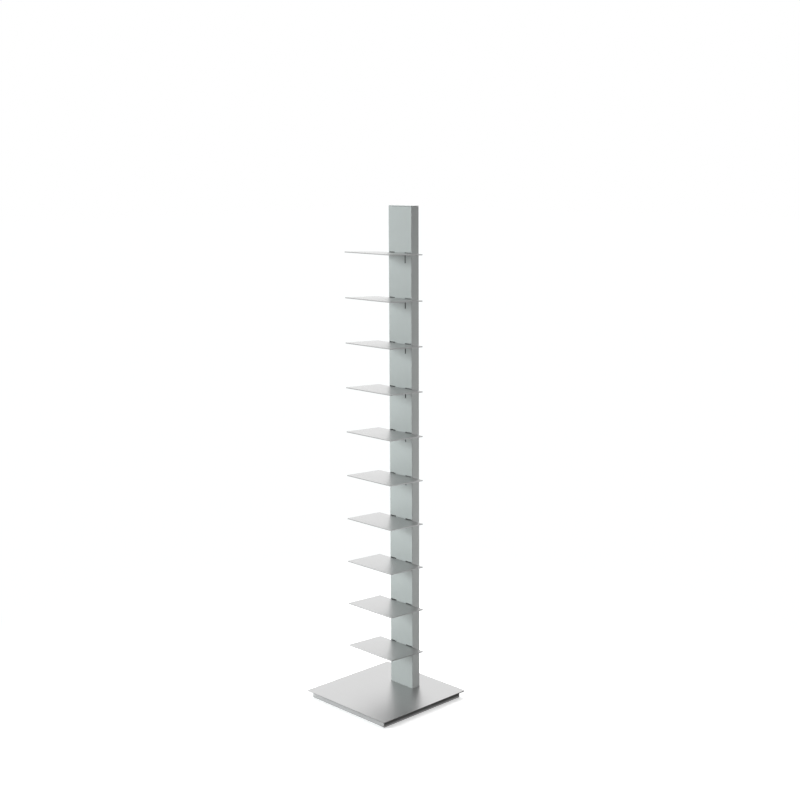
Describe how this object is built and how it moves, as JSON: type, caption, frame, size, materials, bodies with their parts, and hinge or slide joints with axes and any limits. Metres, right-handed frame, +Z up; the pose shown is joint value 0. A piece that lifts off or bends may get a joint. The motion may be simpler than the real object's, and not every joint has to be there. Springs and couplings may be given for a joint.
{
  "type": "spine bookshelf",
  "caption": "Slim free-standing steel column on a square base, with short lift-off plates that each hold a flat stack of books.",
  "frame": {"origin": "middle of the base's footprint, on the floor", "axes": "+Z up, +X along the shelves' width, -Y to the front, where the shelves point"},
  "size_m": [0.35, 0.35, 1.529],
  "materials": {
    "plate_steel": "fine satin stainless, softly reflective",
    "column_steel": "satin silver-grey lacquer on steel sheet",
    "slab_steel": "satin, slightly duller than the plates",
    "raw_steel": "plain mill finish, inside the column",
    "zinc_steel": "bright zinc plated fasteners",
    "rubber": "matt black"
  },
  "bodies": {
    "stand": {"base_plate": "plate_steel", "ballast_slab": "slab_steel", "pad_front_left": "rubber", "pad_front_right": "rubber", "pad_rear_left": "rubber", "pad_rear_right": "rubber", "plate_nut_front_left": "zinc_steel", "plate_nut_front_right": "zinc_steel", "plate_nut_rear_left": "zinc_steel", "plate_nut_rear_right": "zinc_steel", "foot_block": "raw_steel", "foot_screw_1": "zinc_steel", "foot_screw_2": "zinc_steel", "foot_screw_3": "zinc_steel", "column_channel": "column_steel", "column_back_panel": "column_steel", "column_tie_1": "raw_steel", "column_tie_2": "raw_steel", "column_tie_3": "raw_steel", "column_tie_4": "raw_steel", "back_panel_screw_1": "zinc_steel", "back_panel_screw_2": "zinc_steel", "back_panel_screw_3": "zinc_steel", "back_panel_screw_4": "zinc_steel", "top_cap": "column_steel"},
    "shelf_01": {"shelf_01": "plate_steel"},
    "shelf_02": {"shelf_02": "plate_steel"},
    "shelf_03": {"shelf_03": "plate_steel"},
    "shelf_04": {"shelf_04": "plate_steel"},
    "shelf_05": {"shelf_05": "plate_steel"},
    "shelf_06": {"shelf_06": "plate_steel"},
    "shelf_07": {"shelf_07": "plate_steel"},
    "shelf_08": {"shelf_08": "plate_steel"},
    "shelf_09": {"shelf_09": "plate_steel"},
    "shelf_10": {"shelf_10": "plate_steel"}
  },
  "joints": [
    {"name": "shelf_01_lift", "type": "slide", "parent": "stand", "child": "shelf_01", "axis": [0, 0, 1], "range_m": [0, 0.0015]},
    {"name": "shelf_02_lift", "type": "slide", "parent": "stand", "child": "shelf_02", "axis": [0, 0, 1], "range_m": [0, 0.0015]},
    {"name": "shelf_03_lift", "type": "slide", "parent": "stand", "child": "shelf_03", "axis": [0, 0, 1], "range_m": [0, 0.0015]},
    {"name": "shelf_04_lift", "type": "slide", "parent": "stand", "child": "shelf_04", "axis": [0, 0, 1], "range_m": [0, 0.0015]},
    {"name": "shelf_05_lift", "type": "slide", "parent": "stand", "child": "shelf_05", "axis": [0, 0, 1], "range_m": [0, 0.0015]},
    {"name": "shelf_06_lift", "type": "slide", "parent": "stand", "child": "shelf_06", "axis": [0, 0, 1], "range_m": [0, 0.0015]},
    {"name": "shelf_07_lift", "type": "slide", "parent": "stand", "child": "shelf_07", "axis": [0, 0, 1], "range_m": [0, 0.0015]},
    {"name": "shelf_08_lift", "type": "slide", "parent": "stand", "child": "shelf_08", "axis": [0, 0, 1], "range_m": [0, 0.0015]},
    {"name": "shelf_09_lift", "type": "slide", "parent": "stand", "child": "shelf_09", "axis": [0, 0, 1], "range_m": [0, 0.0015]},
    {"name": "shelf_10_lift", "type": "slide", "parent": "stand", "child": "shelf_10", "axis": [0, 0, 1], "range_m": [0, 0.0015]}
  ]
}
